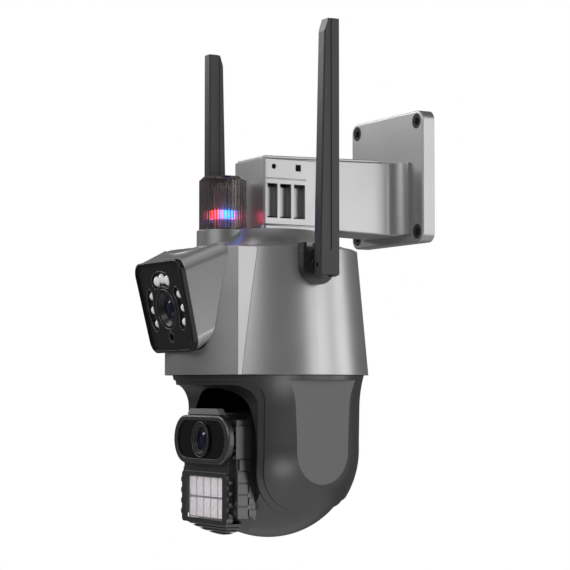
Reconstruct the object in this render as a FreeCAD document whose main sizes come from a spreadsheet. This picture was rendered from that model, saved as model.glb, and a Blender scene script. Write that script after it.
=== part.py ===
import FreeCAD, Part
import math
import os
import re
from FreeCAD import Placement, Rotation, Vector

# Wall-mounted pan and tilt camera with a fixed second camera, a warning light and two aerials.
# Millimetres, +Z up, the wall plate's back face in the plane y = 0 and the camera in front of it (-Y).

SIZES = {
    # where the housing's vertical axis and the head's cross axis lie
    "axis_reach": 108.0,
    "tilt_depth": 191.2,
    # wall plate
    "plate_side": 93.0,
    "plate_thick": 10.2,
    "plate_corner": 7.0,
    "hole_pitch": 78.0,
    "hole_radius": 2.6,
    "bore_radius": 5.3,
    "bore_depth": 4.0,
    "cable_way": 30.0,
    # bracket arm
    "arm_half": 20.2,
    "arm_front": 123.2,
    "arm_top": 8.4,
    "arm_floor": 38.2,
    "arm_rise": 2.7,
    "arm_drop": 3.0,
    "arm_wall": 2.5,
    "flare_radius": 11.0,
    "flare_lip": 2.0,
    "vent_rear": 83.0,
    "vent_thick": 1.4,
    # upper housing
    "shoulder_radius": 61.6,
    "shoulder_depth": 55.4,
    "rim_radius": 69.2,
    "rim_depth": 140.2,
    "shell_wall": 2.5,
    "panel_radius": 71.4,
    "panel_half": 50.0,
    # fixed camera pod
    "pod_reach": 185.0,
    "pod_depth": 96.0,
    "pod_tilt": 13.0,
    "pod_half_top": 35.0,
    "pod_half_foot": 32.4,
    "pod_up": 33.0,
    "pod_down": 29.5,
    "pod_corner": 9.0,
    # warning light
    "strobe_reach": 143.8,
    "strobe_radius": 15.7,
    "strobe_top": 4.8,
    "strobe_foot": 41.8,
    "strobe_ribs": 48,
    # aerials
    "aerial_side": 78.3,
    "aerial_reach": 108.0,
    "hinge_depth": 68.5,
    "blade_length": 163.5,
    "blade_thick": 8.4,
    "blade_wide": 15.0,
    "blade_tip": 11.6,
    # turning yoke and its drive
    "yoke_radius": 62.6,
    "yoke_top_radius": 66.0,
    "yoke_room": 60.4,
    "yoke_inner": 54.2,
    "yoke_flat": 58.6,
    "lobe_half": 36.0,
    "ceiling": 47.5,
    "shaft_radius": 9.0,
    "gear_module": 0.8,
    "pan_teeth": 60,
    "pan_pinion_teeth": 12,
    "tilt_teeth": 30,
    "tilt_pinion_teeth": 12,
    # nodding head
    "ball_radius": 59.9,
    "ball_half": 53.8,
    "ball_wall": 2.6,
    "axle_radius": 6.0,
}

RUN_FIT = 0.05
GEAR_PLAY = 0.12

document = FreeCAD.newDocument("ptz_camera")
sheet = document.addObject("Spreadsheet::Sheet", "Sizes")
for row, (alias, value) in enumerate(SIZES.items(), start=1):
    sheet.set(f"A{row}", alias)
    sheet.set(f"B{row}", str(value))
    sheet.setAlias(f"B{row}", alias)
document.recompute()

pieces = []


# ---------------------------------------------------------------- small helpers

def size(alias):
    """Read one driving dimension from the sheet."""
    return float(sheet.get(alias))


def formula(text):
    """Point every dimension's name in a formula at the sheet."""
    return re.sub(r"[a-z]+(_[a-z]+)*", lambda word: "Sizes." + word.group(0), str(text))


def bind(thing, **formulas):
    """Bind properties of a document object to formulas over the sheet."""
    for name, text in formulas.items():
        thing.setExpression(name, formula(text))


def place(thing, x, y, z):
    """Bind where a document object stands."""
    for letter, text in zip("xyz", (x, y, z)):
        thing.setExpression("Placement.Base." + letter, formula(text))


TURNS = {
    "Z": Rotation(),
    "X": Rotation(Vector(0, 1, 0), 90),
    "Y": Rotation(Vector(1, 0, 0), -90),
}


def block(corner, lengths):
    """A box from its lowest corner."""
    thing = document.addObject("Part::Box", "block")
    bind(thing, Length=lengths[0], Width=lengths[1], Height=lengths[2])
    place(thing, *corner)
    return thing


def rod(base, radius, length, axis="Z"):
    """A cylinder that starts at base and runs along +axis."""
    thing = document.addObject("Part::Cylinder", "rod")
    thing.Placement = Placement(Vector(), TURNS[axis])
    bind(thing, Radius=radius, Height=length)
    place(thing, *base)
    return thing


def cone(base, low_radius, high_radius, length, axis="Z"):
    """A truncated cone that starts at base and runs along +axis."""
    thing = document.addObject("Part::Cone", "cone")
    thing.Placement = Placement(Vector(), TURNS[axis])
    bind(thing, Radius1=low_radius, Radius2=high_radius, Height=length)
    place(thing, *base)
    return thing


def ball(centre, radius):
    """A full sphere."""
    thing = document.addObject("Part::Sphere", "ball")
    bind(thing, Radius=radius)
    place(thing, *centre)
    return thing


def wedge(front, rear):
    """A tapered block between a front and a rear rectangle, each (y, x low, x high, z low, z high)."""
    thing = document.addObject("Part::Wedge", "wedge")
    bind(thing, Ymin=front[0], Xmin=front[1], Xmax=front[2], Zmin=front[3], Zmax=front[4])
    bind(thing, Ymax=rear[0], X2min=rear[1], X2max=rear[2], Z2min=rear[3], Z2max=rear[4])
    return thing


def fuse(*things):
    thing = document.addObject("Part::MultiFuse", "joined")
    thing.Shapes = list(things)
    return thing


def cut(base, *tools):
    thing = document.addObject("Part::Cut", "cut")
    thing.Base = base
    thing.Tool = tools[0] if len(tools) == 1 else fuse(*tools)
    return thing


def common(*things):
    thing = document.addObject("Part::MultiCommon", "common")
    thing.Shapes = list(things)
    return thing


def group(things):
    thing = document.addObject("Part::Compound", "group")
    thing.Links = list(things)
    return thing


def rounded(base, radius, wanted):
    """Round the edges of base that wanted(edge) picks."""
    document.recompute()
    thing = document.addObject("Part::Fillet", "rounded")
    thing.Base = base
    edges = base.Shape.Edges
    thing.Edges = [(i, radius, radius) for i, edge in enumerate(edges, start=1) if wanted(edge)]
    return thing


def runs_along(edge, axis):
    """True for a straight edge parallel to an axis letter."""
    if edge.Curve.TypeId != "Part::GeomLine":
        return False
    return abs(getattr(edge.Curve.Direction, axis.lower())) > 0.999


def tilted(thing, angle, centre, axis=Vector(1, 0, 0)):
    """Turn a copy of a finished shape about a line through centre."""
    holder = document.addObject("Part::Compound", "tilted")
    holder.Links = [thing]
    turn = Rotation(axis, angle)
    holder.Placement = Placement(centre - turn.multVec(centre), turn)
    return holder


def plane_of(body, role):
    """One of a body's own origin planes."""
    return next(item for item in body.Origin.OriginFeatures if item.Role == role)


def sketched(body, role, outlines, offset=0.0):
    """A sketch on an origin plane, from closed outlines of (a, b) points and arcs."""
    sketch = body.newObject("Sketcher::SketchObject", "sketch")
    sketch.AttachmentSupport = [(plane_of(body, role), "")]
    sketch.MapMode = "FlatFace"
    sketch.AttachmentOffset = Placement(Vector(0, 0, offset), Rotation())
    for outline in outlines:
        if outline[0] == "circle":
            centre = Vector(outline[1][0], outline[1][1], 0)
            sketch.addGeometry(Part.Circle(centre, Vector(0, 0, 1), outline[2]))
            continue
        here = Vector(*outline[0], 0)
        first = here
        for point in list(outline[1:]) + [outline[0]]:
            if isinstance(point[0], tuple):
                end = Vector(*point[1], 0)
                sketch.addGeometry(Part.Arc(here, Vector(*point[0], 0), end))
            else:
                end = Vector(*point, 0)
                if (end - here).Length > 1e-6:
                    sketch.addGeometry(Part.LineSegment(here, end))
            here = end
        assert (here - first).Length < 1e-6
    return sketch


def turned(outline, x="0", y="-axis_reach", z="0"):
    """A body of revolution about a vertical line, from an outline of (radius, height) points."""
    body = document.addObject("PartDesign::Body", "turned")
    sketch = sketched(body, "XZ_Plane", [outline])
    turn = body.newObject("PartDesign::Revolution", "turn")
    turn.Profile = sketch
    turn.ReferenceAxis = (sketch, ["V_Axis"])
    turn.Angle = 360
    body.Tip = turn
    place(body, x, y, z)
    return body


def padded(outlines, length, role="XY_Plane", at=("0", "0", "0")):
    """A body padded from closed outlines on one of its origin planes."""
    body = document.addObject("PartDesign::Body", "padded")
    sketch = sketched(body, role, outlines)
    pad = body.newObject("PartDesign::Pad", "pad")
    pad.Profile = sketch
    bind(pad, Length=length)
    body.Tip = pad
    place(body, *at)
    return body


def piece(label, thing):
    """Keep a finished piece under its own name."""
    thing.Label = label
    pieces.append(thing)
    return thing


def screws(places, radius, length, head_radius, head_height, axis, toward):
    """A group of pan-head screws: each head at its place, the shank running toward +/-axis."""
    made = []
    letter = "XYZ".index(axis)
    for spot in places:
        shank_base = list(spot)
        head_base = list(spot)
        if toward < 0:
            shank_base[letter] = f"{spot[letter]} - {length}"
        else:
            head_base[letter] = f"{spot[letter]} - {head_height}"
        shank = rod(shank_base, radius, length, axis)
        head = rod(head_base, head_radius, head_height, axis)
        made.append(fuse(shank, head))
    return group(made)


# ---------------------------------------------------------------- wall plate and arm

def hole_places(y):
    """The four screw places of the wall plate."""
    signs = [(-1, -1), (1, -1), (-1, 1), (1, 1)]
    return [(f"{sx} * hole_pitch / 2", y, f"{sz} * hole_pitch / 2") for sx, sz in signs]


def wall_plate():
    """Square cast plate with counterbored corner holes and a way through for the cable."""
    slab = block(("-plate_side / 2", "-plate_thick", "-plate_side / 2"),
                 ("plate_side", "plate_thick", "plate_side"))
    slab = rounded(slab, size("plate_corner"), lambda edge: runs_along(edge, "Y"))
    front = -size("plate_thick")
    slab = rounded(slab, 1.2, lambda edge: abs(edge.BoundBox.YMin - front) < 1e-3
                   and abs(edge.BoundBox.YMax - front) < 1e-3)
    holes = [rod(spot, "hole_radius", "plate_thick + 2", "Y") for spot in hole_places("-plate_thick - 1")]
    bores = [rod(spot, "bore_radius", "bore_depth + 1", "Y") for spot in hole_places("-plate_thick - 1")]
    way = block(("-cable_way / 2", "-plate_thick - 1", "-cable_way / 2 - 14"),
                ("cable_way", "plate_thick + 2", "cable_way"))
    return piece("wall_plate", cut(slab, way, *holes, *bores))


def plate_grommets():
    """Rubber rings that sit in the counterbores."""
    rings = []
    for spot in hole_places("-plate_thick + 0.4"):
        ring = rod(spot, "bore_radius - 0.05", "bore_depth - 0.45", "Y")
        rings.append(cut(ring, rod(spot, "hole_radius", "bore_depth", "Y")))
    return piece("plate_grommets", group(rings))


def arm_form(gap):
    """The arm's outer block, its underside let down by a gap."""
    floor = f"-arm_floor - {gap}"
    return wedge(("-arm_front", "-arm_half", "arm_half", floor, "arm_top"),
                 ("-plate_thick", "-arm_half", "arm_half", f"{floor} - arm_drop", "arm_top + arm_rise"))


def bracket_arm():
    """Hollow box arm that flares out into a thin lip against the wall plate."""
    shell = arm_form(0)
    shell = rounded(shell, 1.2, lambda edge: edge.BoundBox.YLength > 50)
    hollow = wedge(("-arm_front + arm_wall", "-arm_half + arm_wall", "arm_half - arm_wall",
                    "-arm_floor + arm_wall", "arm_top - arm_wall"),
                   ("-plate_thick + 1", "-arm_half + arm_wall", "arm_half - arm_wall",
                    "-arm_floor - arm_drop + arm_wall", "arm_top + arm_rise - arm_wall"))
    flares = []
    for side, corner in ((1, "arm_half - 1"), (-1, "-arm_half - flare_radius")):
        foot = block((corner, "-plate_thick - flare_lip - flare_radius", "-arm_floor - arm_drop + 0.6"),
                     ("flare_radius + 1", "flare_lip + flare_radius",
                      "arm_floor + arm_drop + arm_top + arm_rise - 1.2"))
        scoop = rod((f"{side} * (arm_half + flare_radius)", "-plate_thick - flare_lip - flare_radius", "-60"),
                    "flare_radius", "100")
        flares.append(cut(foot, scoop))
    window = block(("arm_half - 6", "-arm_front + 3.2", "-33.6"), ("10", "32", "24.8"))
    peep = rod(("arm_half - 6", "-115.8", "2.4"), "1.7", "10", "X")
    eye = block(("arm_half - 6", "-98.6", "0"), ("10", "4.4", "4.6"))
    cable_hole = rod(("0", "-axis_reach", "-arm_floor - 5"), "11", "12")
    holes = [rod((x, y, "-arm_floor - 5"), "1.6", "12") for x, y in arm_screw_places()]
    body = fuse(shell, *flares)
    return piece("bracket_arm", cut(body, hollow, window, peep, eye, cable_hole, *holes))


def arm_screw_places():
    """Where the housing's cap is screwed to the arm."""
    return [(x, y) for x in ("-14", "14") for y in ("-axis_reach - 9", "-axis_reach + 22")]


def arm_lid():
    """Thin strip along the top of the arm."""
    gap = 0.02
    slope = "arm_rise / (arm_front - plate_thick)"
    front, rear = "arm_front - 1.2", "plate_thick + 16"
    low_front = f"arm_top + 1.2 * {slope} + {gap}"
    low_rear = f"arm_top + arm_rise - 16 * {slope} + {gap}"
    strip = wedge((f"-({front})", "-arm_half + 1.3", "arm_half - 1.3", low_front, f"{low_front} + 1.6"),
                  (f"-({rear})", "-arm_half + 1.3", "arm_half - 1.3", low_rear, f"{low_rear} + 1.6"))
    return piece("arm_lid", rounded(strip, 0.7, lambda edge: edge.BoundBox.ZMin > size("arm_top") + 0.9))


SLOT_FRONTS = (-121.6, -110.8, -99.8)


def vent_cover():
    """Side cover with three louvred slots, a sound hole, a small window and a groove."""
    plate = block(("arm_half", "-arm_front + 0.3", "-arm_floor + 0.8"),
                  ("vent_thick", "arm_front - vent_rear", "arm_floor + arm_top - 1.4"))
    plate = rounded(plate, 0.5, lambda edge: edge.BoundBox.XMin > size("arm_half") + 1)
    openings = [block(("arm_half - 1", f"{front}", "-32.8"), ("4", "8.6", "23.4")) for front in SLOT_FRONTS]
    sound_hole = rod(("arm_half - 1", "-115.8", "2.4"), "1.7", "4", "X")
    eye = block(("arm_half - 1", "-98.6", "0"), ("4", "4.2", "4.4"))
    groove = block(("arm_half + vent_thick - 0.5", "-122", "-6.2"), ("1", "31.5", "0.7"))
    skin = cut(plate, *openings, sound_hole, eye, groove)
    fins = []
    for front in SLOT_FRONTS[1:]:
        fins.append(block(("arm_half - 5.5", f"{front} - 1.6", "-33.4"), ("5.6", "1.2", "24.4")))
    fins.append(block(("arm_half - 5.5", "-91.2", "-33.4"), ("5.6", "1.2", "24.4")))
    back = block(("arm_half - 5.5", "-119.6", "-31.4"), ("0.8", "29.4", "20.4"))
    return piece("vent_cover", fuse(skin, *fins, back))


def vent_speaker():
    """Loudspeaker behind the louvres: basket, magnet and a shallow cone."""
    basket = rod(("3", "-105", "-21"), "12.8", "10", "X")
    dish = cone(("9", "-105", "-21"), "4", "11.5", "4.2", "X")
    magnet = rod(("-3", "-105", "-21"), "8", "6.2", "X")
    return piece("vent_speaker", fuse(cut(basket, dish), magnet))


# ---------------------------------------------------------------- upper housing

def dome_outline(drop):
    """Outer line of the cap, moved down by drop, from the axis out to the rim."""
    return [(0.0, -41.0 - drop), (34.0, -41.0 - drop), ((45.0, -49.2 - drop), (59.5, -54.2 - drop))]


def dome_cap():
    """Concave cap with a saddle for the arm, open in the middle for the cable."""
    radius, depth = size("shoulder_radius"), size("shoulder_depth")
    outline = dome_outline(0) + [
        (radius, -depth + 0.1), (radius, -depth - 0.05),
        (radius - 2.7, -depth - 0.05), (radius - 2.7, -depth - 2.6), (radius - 5.0, -depth - 2.6),
        ((43.0, -51.8), (31.0, -43.5)), (0.0, -43.5)]
    cap = turned(outline)
    saddle = block(("-arm_half - 2", "-arm_front - 2", "-43"),
                   ("2 * arm_half + 4", "58", "43 - arm_floor - 0.05"))
    saddle = rounded(saddle, 3.0, lambda edge: runs_along(edge, "Z"))
    cable_hole = rod(("0", "-axis_reach", "-60"), "11", "30")
    holes = [rod((x, y, "-60"), "1.6", "30") for x, y in arm_screw_places()]
    under = turned([(0.0, -43.5), (31.0, -43.5), ((43.0, -51.8), (56.6, -58.0)), (56.6, -70), (0.0, -70)])
    light_seat = rod(("0", "-strobe_reach", "-strobe_foot - 0.05"), "strobe_radius + 0.7", "5")
    body = cut(fuse(cap, saddle), under, cable_hole, arm_form(0.05), light_seat, *holes)
    return piece("dome_cap", body)


def housing_cone(grow):
    """The tapered outer form of the housing, grown by a small amount."""
    return cone(("0", "-axis_reach", "-rim_depth"), f"rim_radius + {grow}", f"shoulder_radius + {grow}",
                "rim_depth - shoulder_depth - 0.1")


def upper_housing():
    """Tapered shell with four screw posts inside, open below."""
    inside = cone(("0", "-axis_reach", "-rim_depth - 0.01"), "rim_radius - shell_wall",
                  "shoulder_radius - shell_wall", "rim_depth - shoulder_depth + 0.02")
    shell = cut(housing_cone("0"), inside)
    posts = []
    for x, y in post_places():
        post = rod((x, y, "-130.4"), "4.2", "34")
        posts.append(common(post, housing_cone("0")))
    holes = [rod((x, y, "-131"), "1.3", "14") for x, y in post_places()]
    cable_hole = rod(("0", "-axis_reach - 80", "-pod_depth"), "9", "40", "Y")
    return piece("upper_housing", cut(fuse(shell, *posts), cable_hole, *holes))


def post_places():
    """Screw posts round the inside of the housing."""
    reach = 60.5
    spots = []
    for angle in (45, 135, 225, 315):
        x = reach * math.cos(math.radians(angle))
        y = reach * math.sin(math.radians(angle))
        spots.append((f"{x:.3f}", f"-axis_reach + {y:.3f}"))
    return spots


def panel_prism(inset):
    """Upright block in front of the housing's axis, smaller all round by inset."""
    low, high = f"-rim_depth + {inset}", f"rim_depth - shoulder_depth - 0.2 - {2 * inset}"
    return block((f"-panel_half + {inset}", "-axis_reach - 75", low),
                 (f"2 * panel_half - {2 * inset}", "50", high))


def front_panel():
    """Raised panel: an upright cylinder in front of the cone, hollow behind."""
    skin = common(rod(("0", "-axis_reach", "-rim_depth"), "panel_radius", "rim_depth"), panel_prism(0))
    hollow = rod(("0", "-axis_reach", "-rim_depth"), "panel_radius - 2.4", "rim_depth")
    hollow = common(hollow, panel_prism(2.6))
    cable_hole = rod(("0", "-axis_reach - 80", "-pod_depth"), "9", "40", "Y")
    pod_pocket = pod_frame(pod_block(-5.0, 14.0, -0.05, size("pod_corner")))
    return piece("front_panel", cut(skin, housing_cone("0.03"), hollow, cable_hole, pod_pocket))


def main_board():
    """Circuit board with rounded corners, on the chassis posts."""
    board = block(("-42", "-axis_reach - 32", "-96"), ("84", "64", "1.6"))
    return piece("main_board", rounded(board, 3.0, lambda edge: runs_along(edge, "Z")))


def board_chips():
    """Processor, memory, network jack and capacitors on the board."""
    level = "-94.4"
    chips = [
        block(("-9", "-axis_reach - 9", level), ("18", "18", "2")),
        block(("14", "-axis_reach - 12", level), ("10", "12", "1.2")),
        block(("14", "-axis_reach + 4", level), ("10", "12", "1.2")),
        block(("-38", "-axis_reach - 8", level), ("14", "16", "12")),
        block(("-20", "-axis_reach + 18", level), ("24", "6", "6")),
    ]
    cans = [rod((x, "-axis_reach - 22", level), "4", "9") for x in ("-24", "-12", "0", "12")]
    return piece("board_chips", group(chips + cans))


# ---------------------------------------------------------------- fixed camera pod

def pod_frame(thing):
    """Lean a shape built upright round the pod's lens centre into place."""
    centre = Vector(0, -size("pod_reach"), -size("pod_depth"))
    return tilted(thing, size("pod_tilt"), centre)


def pod_outline(inset, spread=0.0, lift=0.0, rise=0.0):
    """Corners of the pod's face, inset all round, spread sideways, lifted at the foot, raised on top."""
    top, foot = size("pod_half_top") - inset + spread, size("pod_half_foot") - inset + spread
    low, high = inset + lift - size("pod_down"), size("pod_up") + rise - inset
    return [(-foot, low), (foot, low), (top, high), (-top, high)]


def pod_block(depth_from, depth, inset, corner):
    """Rounded upright slab of the pod's outline, starting depth_from behind its face."""
    slab = padded([pod_outline(inset)], depth, "XZ_Plane",
                  ("0", f"-pod_reach + {depth_from} + {depth}", "-pod_depth"))
    return rounded(slab, corner, lambda edge: runs_along(edge, "Y"))


def pod_body(depth_from, depth, inset, corner):
    """The pod's tapered body: wider and higher toward the housing."""
    sections = []
    for back, spread, lift, rise in ((0.0, 0.0, 0.0, 0.0), (depth, 0.36 * depth, 0.3 * depth, 0.2 * depth)):
        section = document.addObject("Part::Polygon", "section")
        y = depth_from + back - size("pod_reach")
        outline = pod_outline(inset, spread, lift, rise)
        section.Nodes = [Vector(x, y, z - size("pod_depth")) for x, z in outline]
        section.Close = True
        sections.append(section)
    loft = document.addObject("Part::Loft", "loft")
    loft.Sections = sections
    loft.Solid = True
    loft.Ruled = True
    return rounded(loft, corner, lambda edge: edge.BoundBox.YLength > 0.9 * depth)


def pod_shell():
    """Housing of the fixed camera, cut to sit on the front panel."""
    corner = size("pod_corner")
    outside = pod_frame(pod_body(0.6, 40.0, 0.0, corner))
    inside = pod_frame(pod_body(0.0, 42.0, 2.6, corner - 2.6))
    drum = rod(("0", "-axis_reach", "-rim_depth"), "panel_radius + 0.03", "rim_depth")
    behind = block(("-60", "-axis_reach - 40", "-150"), ("120", "60", "120"))
    ledge = cut(pod_block(2.7, 1.6, 2.0, 7.0), rod(pod_spot(0, 0, 0), "26.5", "8", "Y"))
    bosses = [rod(pod_spot(x, z, 2.7), "2.6", "5", "Y") for x, z in pod_corners()]
    holes = [rod(pod_spot(x, z, 2), "1.05", "8", "Y") for x, z in pod_corners()]
    frame = pod_frame(cut(fuse(ledge, *bosses), *holes))
    return piece("pod_shell", cut(fuse(cut(outside, inside), frame), drum, behind))


def arc_spot(radius, angle):
    """A place on a circle round the pod's lens, the angle in degrees from +X."""
    return radius * math.cos(math.radians(angle)), radius * math.sin(math.radians(angle))


def lamp_places():
    """Nine lamps as (x, z, radius): three large ones above the lens, three smaller on each side."""
    above = [(*arc_spot(20.8, angle), 3.7) for angle in (68, 90, 112)]
    beside = [(*arc_spot(22.4, angle), 2.9) for angle in (-25, 0, 25, 155, 180, 205)]
    return above + beside


def lamp_recesses():
    """Curved shallow recesses round each group of three lamps."""
    rods = []
    for middle, half, radius, wide in ((90, 23, 20.8, 5.0), (0, 28, 22.4, 4.0), (180, 28, 22.4, 4.0)):
        for step in range(-5, 6):
            x, z = arc_spot(radius, middle + half * step / 5)
            rods.append(rod(pod_spot(x, z, -4), f"{wide}", "3.5", "Y"))
    return fuse(*rods)


def pod_spot(x, z, depth):
    """A place on the pod's face as formulas."""
    return (f"{x:.3f}", f"-pod_reach + {depth}", f"-pod_depth + {z:.3f}")


def pod_bezel():
    """Black front frame with a raised rim, lamp recesses and corner screw wells."""
    corner = size("pod_corner")
    plate = pod_block(-3.2, 3.75, 0.0, corner)
    plate = rounded(plate, 1.0, lambda edge: edge.BoundBox.YMax < -size("pod_reach") - 3.1)
    dish = pod_block(-4.0, 2.3, 1.6, corner - 1.6)
    lens_hole = rod(pod_spot(0, 0, -4), "13.2", "10", "Y")
    lamp_holes = [rod(pod_spot(x, z, -4), f"{radius + 0.3}", "10", "Y") for x, z, radius in lamp_places()]
    sensor_hole = rod(pod_spot(0, -19, -4), "2.4", "10", "Y")
    wells = [rod(pod_spot(x, z, -4), "2.5", "3.2", "Y") for x, z in pod_corners()]
    holes = [rod(pod_spot(x, z, -4), "1.1", "10", "Y") for x, z in pod_corners()]
    body = cut(plate, dish, lens_hole, sensor_hole, lamp_recesses(), *lamp_holes, *wells, *holes)
    return piece("pod_bezel", pod_frame(body))


def pod_corners():
    """The bezel's four screw places."""
    return [(side * reach, z) for side in (-1, 1) for reach, z in ((25.6, -22.6), (28.6, 26.4))]


def pod_screws():
    """Small corner screws, sunk in the bezel."""
    made = []
    for x, z in pod_corners():
        head = rod(pod_spot(x, z, -1.6), "2.2", "0.78", "Y")
        shank = rod(pod_spot(x, z, -1.0), "1.0", "7.6", "Y")
        made.append(fuse(head, shank))
    return piece("pod_screws", pod_frame(group(made)))


def pod_boards():
    """Round board that carries the lamps, and the image sensor's board behind the lens."""
    disc = rod(pod_spot(0, 0, 4.4), "26.2", "1.4", "Y")
    hole = rod(pod_spot(0, 0, 4), "13.2", "4", "Y")
    flat = block(("-30", "-pod_reach", "-pod_depth - 28"), ("60", "10", "9"))
    sensor = block(("-12", "-pod_reach + 7.5", "-pod_depth - 9"), ("24", "1.2", "18"))
    return piece("pod_boards", pod_frame(group([cut(disc, hole, flat), sensor])))


def pod_lamps():
    """Domed lamps round the lens."""
    lamps = []
    for x, z, radius in lamp_places():
        stem = rod(pod_spot(x, z, 0.8), f"{radius}", "3.55", "Y")
        dome = ball(pod_spot(x, z, 1.4), f"{radius * 1.06}")
        dome = common(dome, rod(pod_spot(x, z, -4), f"{radius}", "4.9", "Y"))
        lamps.append(fuse(stem, dome))
    return piece("pod_lamps", pod_frame(group(lamps)))


def pod_sensor():
    """Light sensor that tells day from night."""
    stem = rod(pod_spot(0, -19, 0.8), "2.1", "3.55", "Y")
    return piece("pod_sensor", pod_frame(stem))


def pod_lens_barrel():
    """Stepped lens tube with a wide front ring."""
    tube = rod(pod_spot(0, 0, -1.6), "12.9", "9", "Y")
    mouth = cone(pod_spot(0, 0, -1.65), "11.4", "8.6", "3.2", "Y")
    seat = rod(pod_spot(0, 0, 1.5), "7.6", "3", "Y")
    core = rod(pod_spot(0, 0, 4.4), "5.5", "1.2", "Y")
    return piece("pod_lens_barrel", pod_frame(cut(tube, mouth, seat, core)))


def pod_lens_glass():
    """Front lens of the fixed camera."""
    disc = rod(pod_spot(0, 0, 1.6), "7.5", "2.6", "Y")
    bulge = ball(pod_spot(0, 0, 8.2), "8.6")
    trimmed = common(fuse(disc, bulge), rod(pod_spot(0, 0, -0.6), "7.5", "4.8", "Y"))
    return piece("pod_lens_glass", pod_frame(trimmed))


# ---------------------------------------------------------------- warning light

def strobe_collar():
    """Silver ring that the warning light stands in, cut to the cap's curve."""
    ring = rod(("0", "-strobe_reach", "-56"), "strobe_radius + 2.2", "56 - strobe_foot")
    form = turned(dome_outline(-0.05) + [(60.5, -54.9), (60.5, -70.0), (0.0, -70.0)])
    saddle = block(("-arm_half - 2.1", "-arm_front - 2.1", "-60"), ("2 * arm_half + 4.2", "58", "40"))
    way = rod(("0", "-strobe_reach", "-60"), "4", "30")
    return piece("strobe_collar", cut(ring, form, saddle, way))


def strobe_lens():
    """Ribbed smoky cup, closed on top."""
    cup = document.addObject("PartDesign::Body", "cup")
    radius = size("strobe_radius")
    height = size("strobe_foot") - size("strobe_top")
    wall = [(radius - 2, 0.05), (radius, 0.05), (radius, height - 2.2), (radius - 2.2, height), (0, height),
            (0, height - 2), (radius - 2, height - 2)]
    sketch = sketched(cup, "XZ_Plane", [wall])
    turn = cup.newObject("PartDesign::Revolution", "turn")
    turn.Profile = sketch
    turn.ReferenceAxis = (sketch, ["V_Axis"])
    turn.Angle = 360
    rib_outline = ("circle", (radius - 0.05, 0.0), 0.62)
    rib_sketch = sketched(cup, "XY_Plane", [rib_outline], 0.05)
    rib = cup.newObject("PartDesign::Pad", "rib")
    rib.Profile = rib_sketch
    rib.Length = height - 2.6
    cup.Tip = rib
    document.recompute()
    pattern = cup.newObject("PartDesign::PolarPattern", "ribs")
    pattern.Originals = [rib]
    pattern.Axis = (rib_sketch, ["N_Axis"])
    pattern.Angle = 360
    bind(pattern, Occurrences="strobe_ribs")
    cup.Tip = pattern
    place(cup, "0", "-strobe_reach", "-strobe_foot")
    return piece("strobe_lens", cup)


def strobe_board():
    """Base disc and upright core that carry the warning light's lamps."""
    base = rod(("0", "-strobe_reach", "-strobe_foot + 0.05"), "12.8", "1.6")
    core = rod(("0", "-strobe_reach", "-strobe_foot + 1"), "6.4", "28")
    cap = cone(("0", "-strobe_reach", "-strobe_foot + 29"), "6.4", "3.4", "4")
    return piece("strobe_board", fuse(base, core, cap))


def strobe_lamps(label, start):
    """Four lamps of one colour at the height of the light band: two side by side, two opposite them."""
    made = []
    for angle in (0, 45, 180, 225):
        lamp = block(("6.45", "-2.4", "-33.6"), ("1.8", "4.8", "5.6"))
        lamp = rounded(lamp, 0.5, lambda edge: edge.BoundBox.XMin > 8)
        turn = Rotation(Vector(0, 0, 1), start + angle)
        holder = document.addObject("Part::Compound", "lamp")
        holder.Links = [lamp]
        holder.Placement = Placement(Vector(0, -size("strobe_reach"), 0), turn)
        made.append(holder)
    return piece(label, group(made))


# ---------------------------------------------------------------- pan drive

def involute_gear(teeth, module, thickness, bore, play):
    """Spur gear on the Z axis with a tooth centred on +X; play is taken off each tooth's width."""
    pitch = module * teeth / 2
    base = pitch * math.cos(math.radians(20))
    tip = pitch + module
    root = pitch - 1.25 * module

    def half_angle(radius):
        if radius <= base:
            roll = 0.0
        else:
            roll = math.sqrt((radius / base) ** 2 - 1)
        pitch_roll = math.sqrt((pitch / base) ** 2 - 1)
        unwound = roll - math.atan(roll)
        pitch_unwound = pitch_roll - math.atan(pitch_roll)
        return math.pi / (2 * teeth) - play / (2 * pitch) + pitch_unwound - unwound

    flank = [root] + [max(base, root) + (tip - max(base, root)) * step / 4 for step in range(5)]
    corners = []
    for tooth in range(teeth):
        middle = 2 * math.pi * tooth / teeth
        for radius in flank:
            corners.append((radius, middle - half_angle(radius)))
        for radius in reversed(flank):
            corners.append((radius, middle + half_angle(radius)))
    points = [Vector(r * math.cos(a), r * math.sin(a), 0) for r, a in corners]
    points = [p for i, p in enumerate(points) if (p - points[i - 1]).Length > 1e-4]
    solid = Part.Face(Part.makePolygon(points + [points[0]])).extrude(Vector(0, 0, thickness))
    if bore:
        solid = solid.cut(Part.makeCylinder(bore, thickness + 2, Vector(0, 0, -1)))
    return solid


def shaped(label, shape, placement):
    """A piece whose form is worked out in code."""
    thing = document.addObject("Part::Feature", "formed")
    thing.Shape = shape
    thing.Placement = placement
    return piece(label, thing)


def pan_centre():
    return Vector(0, -size("axis_reach"), 0)


def pan_spacing():
    return size("gear_module") * (size("pan_teeth") + size("pan_pinion_teeth")) / 2


def pan_chassis():
    """Round plate that closes the housing, with the shaft's bearing seat and posts for the board."""
    plate = rod(("0", "-axis_reach", "-133"), "64.2", "2.5")
    seat = rod(("0", "-axis_reach", "-133"), "15", "5.6")
    bore = rod(("0", "-axis_reach", "-134"), "12.5", "10")
    posts = [rod((x, y, "-131"), "2.5", "34.95") for x, y in board_posts()]
    motor_posts = [rod((x, "-axis_reach + 32", "-131"), "3", "9.45") for x in ("-16.5", "16.5")]
    holes = [rod((x, y, "-134"), "1.7", "5") for x, y in post_places()]
    return piece("pan_chassis", cut(fuse(plate, seat, *posts, *motor_posts), bore, *holes))


def board_posts():
    return [(x, f"-axis_reach + {y}") for x in ("-36", "36") for y in (-26, 26)]


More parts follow.
